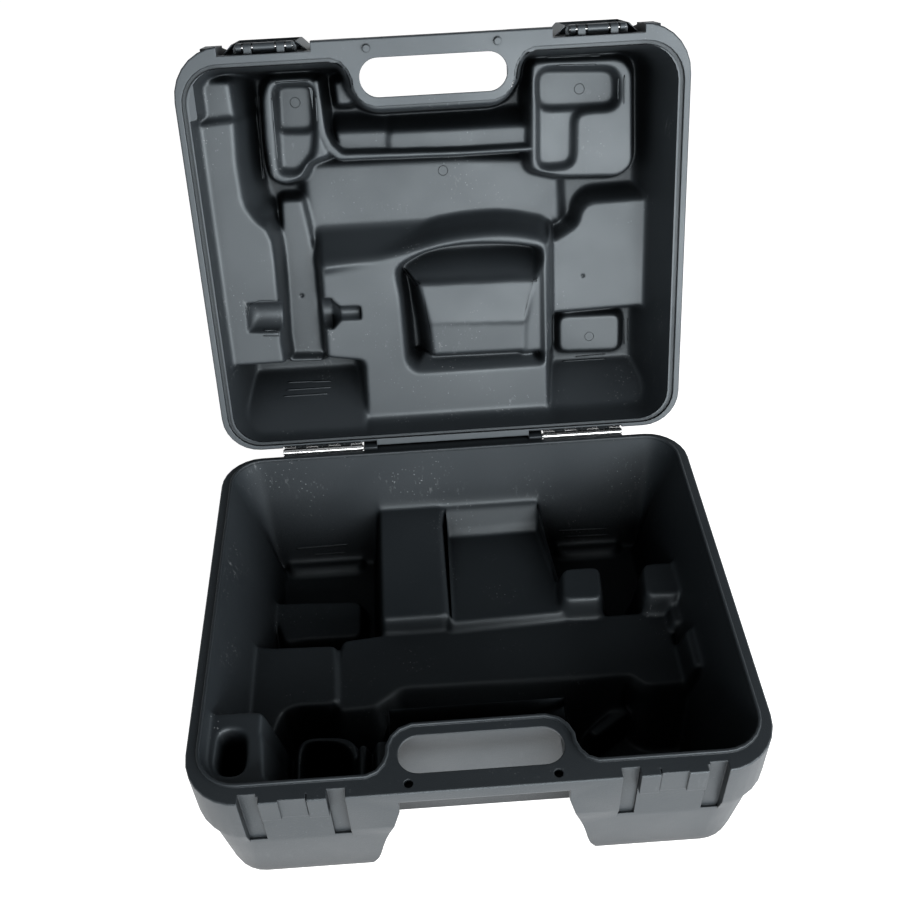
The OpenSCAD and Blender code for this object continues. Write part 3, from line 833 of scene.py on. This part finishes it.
def draw_marks(name: str, marks: Sequence[Mark], relief: Relief, place: Matrix,
               flip: bool) -> bpy.types.Object:
    """Makes all marks of one shell as tubes half sunk into its surface.

    Args:
        name: name of the object.
        marks: the marks.
        relief: the surface that they lie on.
        place: matrix from the rim frame in metres to the row frame.
        flip: True for the lid.

    Returns:
        The new object.
    """
    verts: list[Vector] = []
    faces: list[tuple[int, ...]] = []
    sides = TUBE_SIDES
    for mark in marks:
        path = []
        for a, b in zip(mark.points, mark.points[1:]):
            steps = max(1, int(math.dist(a, b) / TUBE_STEP))
            for i in range(steps):
                path.append([u + (v - u) * i / steps for u, v in zip(a, b)])
        path.append(list(mark.points[-1]))
        spots = [Vector((q[0], q[1], q[2] if len(q) > 2 else relief.at(q[0], q[1]))) for q in path]
        for i, spot in enumerate(spots):
            way = (spots[min(i + 1, len(spots) - 1)] - spots[max(i - 1, 0)]).normalized()
            across = way.cross(Vector((0, 0, 1)) if abs(way.z) < 0.8 else Vector((0, 1, 0))).normalized()
            above = across.cross(way)
            thin = THIN_END if i in (0, len(spots) - 1) and mark.radius > THIN_FROM else 1.0
            for k in range(sides):
                a = 2 * math.pi * k / sides
                verts.append(spot + (across * math.cos(a) + above * math.sin(a)) * mark.radius * thin)
        first = len(verts) - sides * len(spots)
        for i in range(len(spots) - 1):
            for k in range(sides):
                j = (k + 1) % sides
                faces.append((first + i * sides + k, first + i * sides + j,
                              first + (i + 1) * sides + j, first + (i + 1) * sides + k))
        faces.append(tuple(first + k for k in range(sides)))
        faces.append(tuple(len(verts) - 1 - k for k in range(sides)))
    mesh = bpy.data.meshes.new(name)
    mesh.from_pydata([(v.x / PER_M, v.y / PER_M, (-v.z if flip else v.z) / PER_M) for v in verts], [], faces)
    mesh.transform(place)
    bm = bmesh.new()
    bm.from_mesh(mesh)
    bmesh.ops.recalc_face_normals(bm, faces=bm.faces[:])
    bm.to_mesh(mesh)
    bm.free()
    mesh.polygons.foreach_set("use_smooth", [True] * len(mesh.polygons))
    return new_object(name, mesh)


BASE_OPENING = Form(rounded_plan(190.4, 15.4, 325.0, 27.6, 24.6), 0, (15.0, 15.0, 11.0, 5.0))
BASE_DEPTH = 114.0
BASE_WALL = Form(grip_wall(1.6), 6, 7.5)
LID_OPENING = Form(rounded_plan(188.6, 15.4, 324.4, 28, 25), 0, (18.0, 13.0, 11.0, 11.0))
LID_DEPTH = 62.0
LID_WALL = Form(grip_wall(4.2), -2.55, 7.5)
LID_SLOT = Form(grip_wall(-0.6), 0, corner=2)
BASE_FORMS = [
    Form([(-104, 182), (-70, 185), (60, 190), (167, 190), (168, 150), (174, 114), (134, 113), (126, 120),
          (122, 125), (-58, 127), (-72, 115), (-76, 111), (-106, 111)], -75.5, (8, 8, 8, 8), corner=6),
    Form([(-104, 182), (-70, 185), (60, 190), (167, 190), (167, 150), (172, 119), (136, 118), (129, 124),
          (125, 129), (-56, 131), (-71, 120), (-77, 115), (-106, 114)], -70, (8, 8, 8, 36), corner=6),
    Form([(-190, 184), (-174, 180), (-160, 177), (-107, 175), (-105, 121), (-112, 117), (-136, 118),
          (-147, 114), (-151, 100), (-157, 60), (-174, 60)], -66, (8, 8, 8, 14)),
    Form([(-71, 330), (-15, 330), (-16, 188), (-70, 188)], -56, (6, 6, 6, 10)),
    Form([(-15, 330), (73, 330), (82, 190), (-15, 186)], -57, (5, 5, 5, 16)),
    Form([(-11, 294), (72, 295), (84, 184), (-12, 180)], -70, 5, True, (0, -0.14), (30, 245), 2.0),
    Form([(-11, 310), (73, 312), (73, 293), (-11, 292)], -57, 3, True, (0, 1.05), (30, 310), 1.0),
    Form([(78, 191), (113, 190), (116, 226), (82, 226)], -50, (6, 6, 6, 10), corner=8),
    Form([(146, 190), (177, 189), (180, 226), (150, 226)], -50, (6, 6, 6, 10), corner=8),
    Form([(166, 168), (185, 168), (187, 190), (167, 191)], -60),
    Form([(170, 116), (190, 116), (186, 156), (170, 153)], -48),
    Form([(-158, 294), (-88, 294), (-88, 330), (-158, 330)], -108, (8, 20, 8, 36), corner=9),
    Form([(89, 294), (148, 294), (148, 330), (89, 330)], -108, (20, 8, 8, 36), corner=9),
    Form([(-170, 249), (-156, 203), (-140, 206), (-88, 205), (-88, 245)], -97, (8, 8, 8, 30), corner=9),
    Form([(86, 96), (118, 118), (124, 109), (93, 88)], -93, corner=3),
    Form([(-196, 8), (-64, 8), (-66, 24), (-146, 24), (-150, 60), (-196, 60)], -9, (10, 4, 4, 4)),
    Form([(-196, 30), (-150, 30), (-151, 78), (-196, 80)], -9, (10, 4, 8, 4)),
    Form([(-87, 20), (-79, 20), (-79, 66), (-87, 66)], -40, 4, corner=3),
    Form([(-75, 20), (-60, 20), (-60, 68), (-75, 68)], -40, 4, corner=3),
    Form([(-134, 10), (-86, 10), (-88, 78), (-98, 86), (-128, 88), (-135, 80)], -62, (8, 8, 14, 5),
         corner=9),
    Form([(-129, 16), (-93, 16), (-94, 70), (-103, 80), (-125, 82), (-129, 76)], -110, 3, True, corner=8,
         top=-62),
    Form([(-181, 36), (-176, 29), (-162, 29), (-161, 45), (-163, 62), (-180, 64)], -52, 7, True, corner=7,
         top=-9),
]
LID_SOFT = [
    Form([(-113, 104), (-104, 97), (20, 99), (103, 104), (104, 160), (-113, 160)], -52, (8, 8, 8, 8)),
    Form([(-104, 172), (-59, 173), (-35, 168), (-18, 164), (-1, 160), (15, 158), (32, 157), (49, 157),
          (65, 159), (86, 164), (89, 218), (88, 330), (-75, 330), (-73, 264), (-105, 258)], -22,
         (6, 8, 8, 14)),
    Form([(-104, 153), (-12, 151), (-12, 165), (-35, 170), (-59, 176), (-104, 180)], -52, 8, False,
         (0, 1.35), (0, 152)),
]
LID_FORMS = [
    Form([(-196, 8), (-182, 12), (-182, 52), (-196, 54)], -0.2, 4),
    Form([(-190, 25), (-158, 26), (-157, 59), (-190, 60)], -19, (17, 5, 5, 12)),
    Form([(-190, 57), (-157, 55), (-159, 88), (-158, 118), (-155, 128), (-148, 137), (-190, 137)], -14,
         (17, 5, 5, 12)),
    Form([(-190, 112), (-156, 122), (-149, 134), (-141, 140), (-137, 152), (-136, 196), (-138, 229),
          (-137, 259), (-190, 259)], -14, (3, 5, 5, 5)),
    Form([(-103, 177), (-59, 178), (-35, 172), (-18, 168), (-1, 164), (15, 162), (32, 161), (49, 161),
          (65, 163), (87, 168), (88, 330), (-75, 330), (-73, 264), (-105, 259)], -22, (6, 8, 8, 27)),
    Form([(-130, 27), (-94, 27), (-90, 36), (-91, 76), (-84, 90), (-105, 95), (-110, 107), (-126, 111),
          (-137, 105), (-138, 74), (-136, 40)], -30, 7, corner=6),
    Form([(-126, 34), (-96, 36), (-96, 72), (-99, 88), (-107, 97), (-114, 103), (-129, 101)], -38,
         (8, 8, 14, 8), True, corner=6, top=-30),
    Form([(-124, 34), (-96, 35), (-98, 70), (-126, 69)], -43, 8, True, corner=7),
    Form([(-80, 32), (-62, 32), (-64, 53), (-79, 53)], -40, 5),
    Form([(-82, 72), (-38, 73), (-39, 91), (-80, 90)], -40, (6, 8, 4, 27)),
    Form([(-38, 74), (74, 75), (74, 93), (-39, 91)], -38, (6, 6, 4, 27)),
    Form([(77, 25), (150, 26), (159, 36), (161, 111), (150, 120), (100, 118), (75, 111)], -30, (9, 7, 7, 7),
         corner=7),
    Form([(84, 34), (145, 37), (147, 63), (112, 66), (111, 108), (83, 109)], -37, 8, True, corner=9),
    Form([(84, 33), (146, 36), (147, 64), (84, 63)], -42, 9, True, corner=10),
    Form([(84, 238), (84, 178), (101, 170), (116, 161), (119, 148), (127, 142), (177, 141), (179, 236)], -42,
         (34, 12, 7, 28), corner=6),
    Form([(-40, 186), (-34, 180), (-19, 173), (-2, 169), (15, 167), (32, 167), (48, 168), (65, 170),
          (84, 174), (84, 277), (-29, 277), (-36, 268), (-37, 210)], -52, (9, 12, 38, 7), True, corner=6,
         top=-22),
    Form([(-22, 198), (79, 200), (69, 237), (-15, 233)], -23.2, (6, 18, 12, 6), False, (0, 0.12), (20, 220),
         1.0),
    Form([(-15, 230), (69, 234), (68, 264), (-13, 263)], -22.4, (6, 18, 12, 6), False, (0, -0.03), (20, 240),
         1.0),
    Form([(-24, 200), (79, 202), (86, 168), (-44, 176)], -27, (4, 4, 4, 4), False, (0, 1.05), (20, 200),
         1.0),
    Form([(78, 198), (66, 236), (65, 266), (92, 266), (92, 160)], -24.5, (6, 6, 14, 6), False,
         (-0.14, -0.03), (77, 201), 1.0),
    Form([(-133, 124), (-115, 124), (-114, 147), (-109, 164), (-110, 213), (-110, 264), (-137, 264),
          (-138, 240), (-136, 206), (-135, 169)], -45, 3, True),
    Form([(-133, 124), (-113, 124), (-108, 164), (-109, 213), (-108, 268), (-138, 268), (-139, 240),
          (-137, 206), (-136, 169)], -45, 3),
    Form([(-140, 261), (-108, 263), (-108, 268), (-141, 267)], -38, 4),
    Form([(-194, 262), (-76, 262), (-76, 335), (-194, 335)], -66, 8, False, (0, 1.25), (0, 277)),
    Form([(89, 274), (194, 274), (194, 335), (89, 335)], -66, 8, False, (0, 1.25), (0, 285)),
    Form([(100, 242), (156, 243), (156, 279), (100, 277)], -50, (12, 12, 8, 14), corner=8),
]
LID_DETAILS = [
    Form(grip_wall(3.4), -2.55, 1, True, corner=2),
    Trough((-158, 216), (-131, 217), 12.5, 12.5, -14, 9),
    Trough((-112, 218), (-97, 219), 13, 13, -22),
    Trough((-97, 219), (-90, 219), 13, 6, -22),
    Trough((-90, 219), (-73, 219.5), 5.5, 5.5, -22),
    Form([(-123.6, 207.4), (-122.4, 207.4), (-122.4, 208.6), (-123.6, 208.6)], -49, 2, True, corner=0.5),
    Form([(120.4, 204.4), (121.6, 204.4), (121.6, 205.6), (120.4, 205.6)], -46, 2, True, corner=0.5),
    Form([(-94, 30), (-89.5, 30), (-88, 70), (-84, 80), (-76, 88), (20, 91), (76, 91), (76, 95), (20, 95),
          (-80, 93), (-88, 86), (-94, 70)], -30, 8, corner=3),
]
LID_MARKS = [
    Mark.ring(-111, 48), Mark.ring(118, 50), Mark.ring(128, 263), Mark.ring(5, 110),
    Mark([(105, 289), (145, 289)]), Mark([(117, 286), (145, 285)]),
    Mark([(161, 252), (162, 277)]), Mark([(165, 252), (165, 273)]),
    Mark([(-145, 289), (-105, 290)]), Mark([(-146, 294), (-105, 294)]), Mark([(-149, 298), (-108, 298)]),
    Mark([(90, 24), (134, 25)]), Mark([(98, 30), (130, 31)]),
    Mark([(148, 42), (148, 59)]), Mark([(152, 40), (152, 62)]),
    Mark([(-128, 42), (-129, 91)]), Mark([(-124, 31), (-98, 31)]), Mark([(-93, 42), (-94, 63)]),
    Mark([(-144, 42), (-145, 76), (-146, 110)]), Mark([(-141, 42), (-145, 110)]),
    Mark([(-156, 228), (-142, 229), (-142, 233), (-156, 232)]),
    Mark([(-167, 214), (-164, 205), (-155, 201), (-139, 202)], 0.5),
]
BASE_MARKS = [
    Mark([(-149, 306.8, -93), (-101, 307, -92)]),
    Mark([(-134, 305.3, -101), (-104, 305.3, -101)]),
    Mark([(92, 307, -92.5), (138, 306.8, -93.5)]),
    Mark([(98, 305.6, -99.5), (140, 305.4, -100.5)]),
]


def block(name: str, low: Sequence[float], high: Sequence[float], edge: float = 0.0008) -> bpy.types.Object:
    """Makes a box with rounded edges.

    Args:
        name: name of the object.
        low: its lowest corner in metres of the row frame.
        high: its highest corner.
        edge: radius of the edges.

    Returns:
        The new object.
    """
    bm = bmesh.new()
    bmesh.ops.create_cube(bm, size=1.0)
    for v in bm.verts:
        v.co = Vector([a + (b - a) * (c + 0.5) for a, b, c in zip(low, high, v.co)])
    bmesh.ops.bevel(bm, geom=bm.edges[:], offset=edge, segments=3, profile=0.5, affect="EDGES")
    mesh = bpy.data.meshes.new(name)
    bm.to_mesh(mesh)
    bm.free()
    mesh.polygons.foreach_set("use_smooth", [True] * len(mesh.polygons))
    return new_object(name, mesh)


@dataclass(frozen=True)
class Filler:
    """A plain block of the base at each hinge, mirrored to both sides; mm of the rim frame."""

    label: str
    inner: float
    outer: float
    front: float
    back: float
    top: float
    foot: float = -9
    edge: float = 0.0005

    def build(self, side: Side, finish: bpy.types.Material) -> None:
        """Makes the block of one side and lets it ride.

        Args:
            side: the side it stands on.
            finish: its material.
        """
        word = side.name.lower()
        near, far = sorted((side.value * self.inner / PER_M, side.value * self.outer / PER_M))
        low = (near, self.front / PER_M - RIM_BACK, RIM_UP + self.foot / PER_M)
        high = (far, self.back / PER_M - RIM_BACK, RIM_UP + self.top / PER_M)
        foot = block(f"{self.label}_{word}", low, high, self.edge)
        foot.data.materials.append(finish)
        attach(foot, "base")


@dataclass(frozen=True)
class Fittings:
    """Latches, hinges, pins and screws, shown as their CAD nodes."""

    latch: bpy.types.Material
    steel: bpy.types.Material
    shells: tuple[str, ...] = ("base_shell", "lid_shell")
    latches: tuple[str, ...] = ("latch_left", "latch_right")

    def dress(self, nodes: dict[str, bpy.types.Object]) -> None:
        """Gives each CAD node its finish.

        Args:
            nodes: the CAD nodes by name.
        """
        for name, obj in nodes.items():
            if name in self.shells:
                continue
            obj.data.materials.clear()
            obj.data.materials.append(self.latch if name in self.latches else self.steel)
            LOG.info("piece %s", name)


@dataclass(frozen=True)
class Lamp:
    """A rectangular area light; its place, aim and size in metres, its power in watts."""

    name: str
    at: tuple[float, float, float]
    aim: tuple[float, float, float]
    size: tuple[float, float]
    power: float

    def build(self) -> None:
        """Puts the light into the scene."""
        light = bpy.data.objects.new(self.name, bpy.data.lights.new(self.name, "AREA"))
        bpy.context.scene.collection.objects.link(light)
        light.data.energy = self.power
        light.data.shape = "RECTANGLE"
        light.data.size, light.data.size_y = self.size
        light.location = self.at
        light.rotation_euler = (Vector(self.aim) - Vector(self.at)).to_track_quat("-Z", "Y").to_euler()


SHELF_END = Filler("shelf_end", 66.5, 78.4, 332.3, 341, 2.9)
HINGE_FOOT = Filler("hinge_foot", 79.0, 148.6, 333.4, 335.4, -2.9)
LAMPS = (
    Lamp("key", (0.55, -1.9, 0.75), (0, 0.05, 0.15), (2.0, 0.8), 64.0),
    Lamp("top", (-0.3, -0.3, 2.0), (0, 0.1, 0.1), (1.0, 1.0), 2.0),
    Lamp("side", (1.7, -0.7, 0.8), (0, 0.05, 0.1), (0.8, 0.8), 16.0),
)
FLOOR = [(-4, -4, 0), (4, -4, 0), (4, 4, 0), (-4, 4, 0)]
FLOOR_GLOW = 0.97
SENSOR = 36.0


def sky(n: Nodes, path: bpy.types.Node) -> bpy.types.NodeSocket:
    """Soft studio surround: pale below the horizon and to the right, dim above.

    Args:
        n: helper of the world's tree.
        path: its Light Path node.

    Returns:
        The colour's brightness.
    """
    away = n.add("ShaderNodeTexCoord").outputs["Generated"]
    parts = n.add("ShaderNodeSeparateXYZ")
    n.link(away, parts.inputs[0])
    low = n.add("ShaderNodeMapRange")
    for key, value in (("From Min", 0.0), ("From Max", 0.62), ("To Min", 1.0), ("To Max", 0.02)):
        low.inputs[key].default_value = value
    n.link(parts.outputs["Z"], low.inputs["Value"])
    side = n.math("MULTIPLY_ADD", parts.outputs["X"], 0.45, c=1.0)
    seen = n.math("MULTIPLY", low.outputs[0], side)
    shiny = n.math("MULTIPLY_ADD", path.outputs["Is Glossy Ray"], 0.9, c=0.1)
    return n.math("MULTIPLY", seen, shiny)


def floor_finish() -> bpy.types.Material:
    """White paper floor that keeps a soft shadow."""
    mat, n = new_material("paper")
    out = n.add("ShaderNodeOutputMaterial")
    matt = n.add("ShaderNodeBsdfDiffuse")
    matt.inputs["Color"].default_value = PAPER
    glow = n.add("ShaderNodeEmission")
    glow.inputs["Strength"].default_value = FLOOR_GLOW
    both = n.add("ShaderNodeAddShader")
    n.link(matt.outputs[0], both.inputs[0])
    n.link(glow.outputs[0], both.inputs[1])
    plain = n.add("ShaderNodeBsdfDiffuse")
    plain.inputs["Color"].default_value = PAPER
    path = n.add("ShaderNodeLightPath")
    seen = n.math("MAXIMUM", path.outputs["Is Camera Ray"], path.outputs["Is Glossy Ray"])
    mix = n.add("ShaderNodeMixShader")
    n.link(seen, mix.inputs[0])
    n.link(plain.outputs[0], mix.inputs[1])
    n.link(both.outputs[0], mix.inputs[2])
    n.link(mix.outputs[0], out.inputs[0])
    return mat


def studio() -> None:
    """Floor, lights, background and the camera at the photo's viewing angle."""
    world = bpy.data.worlds.new("studio")
    bpy.context.scene.world = world
    world.use_nodes = True
    tree = world.node_tree
    tree.nodes.clear()
    n = Nodes(tree)
    out = n.add("ShaderNodeOutputWorld")
    path = n.add("ShaderNodeLightPath")
    see = n.add("ShaderNodeBackground")
    see.inputs["Color"].default_value = WHITE
    see.inputs["Strength"].default_value = 1.0
    lit = n.add("ShaderNodeBackground")
    lit.inputs["Color"].default_value = (0.92, 0.97, 1.0, 1)
    n.link(sky(n, path), lit.inputs["Strength"])
    mix = n.add("ShaderNodeMixShader")
    n.link(path.outputs["Is Camera Ray"], mix.inputs[0])
    n.link(lit.outputs[0], mix.inputs[1])
    n.link(see.outputs[0], mix.inputs[2])
    n.link(mix.outputs[0], out.inputs[0])
    cam = bpy.data.objects.new("camera", bpy.data.cameras.new("camera"))
    bpy.context.scene.collection.objects.link(cam)
    cam.data.lens = LENS
    cam.data.sensor_width = SENSOR
    cam.location = CAMERA_AT
    cam.rotation_euler = Euler([math.radians(a) for a in CAMERA_TURN], "XYZ")
    bpy.context.scene.camera = cam
    for lamp in LAMPS:
        lamp.build()
    mesh = bpy.data.meshes.new("floor")
    mesh.from_pydata(FLOOR, [], [(0, 1, 2, 3)])
    ground = new_object("floor", mesh)
    mesh.materials.append(floor_finish())
    bpy.context.scene.view_settings.view_transform = "Standard"


def main() -> None:
    """Builds the looks in order."""
    logging.basicConfig(level=logging.INFO, format="%(message)s")
    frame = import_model()
    mould_grain()
    wear_marks()
    # the base's inside gets deeper painted shade than the lid's: a longer occlusion reach and a darker fully
    # shaded value
    base = Plastic("base_plastic", (0.014, 0.018, 0.022), 0.50, 0.10, 1.0, shade=0.15, closed=0.04).build()
    lid = Plastic("lid_plastic", (0.016, 0.020, 0.024), 0.50, 0.08, 0.9).build()
    base_out = Plastic("base_outside", (0.016, 0.020, 0.024), 0.50, 0.45, 0.3).build()
    lid_out = Plastic("lid_outside", (0.030, 0.036, 0.042), 0.50, 0.10, 0.3).build()
    latch = Plastic("latch_plastic", (0.030, 0.036, 0.042), 0.48, 0.08, 0.3, 0.0005, shade=0.01).build()
    steel = Steel("steel", (0.62, 0.63, 0.64), 0.25).build()
    Shell(Half.BASE, "base_shell", "base", base, base_out, BASE_OPENING, BASE_DEPTH, BASE_WALL,
          [], BASE_FORMS, [], BASE_MARKS).build(frame)
    Shell(Half.LID, "lid_shell", "lid", lid, lid_out, LID_OPENING, LID_DEPTH, LID_WALL,
          LID_SOFT, LID_FORMS, LID_DETAILS, LID_MARKS, LID_SLOT).build(frame)
    for side in Side:
        for filler in (SHELF_END, HINGE_FOOT):
            filler.build(side, base)
    Fittings(latch, steel).dress(frame["nodes"])
    studio()


if __name__ == "__main__":
    main()
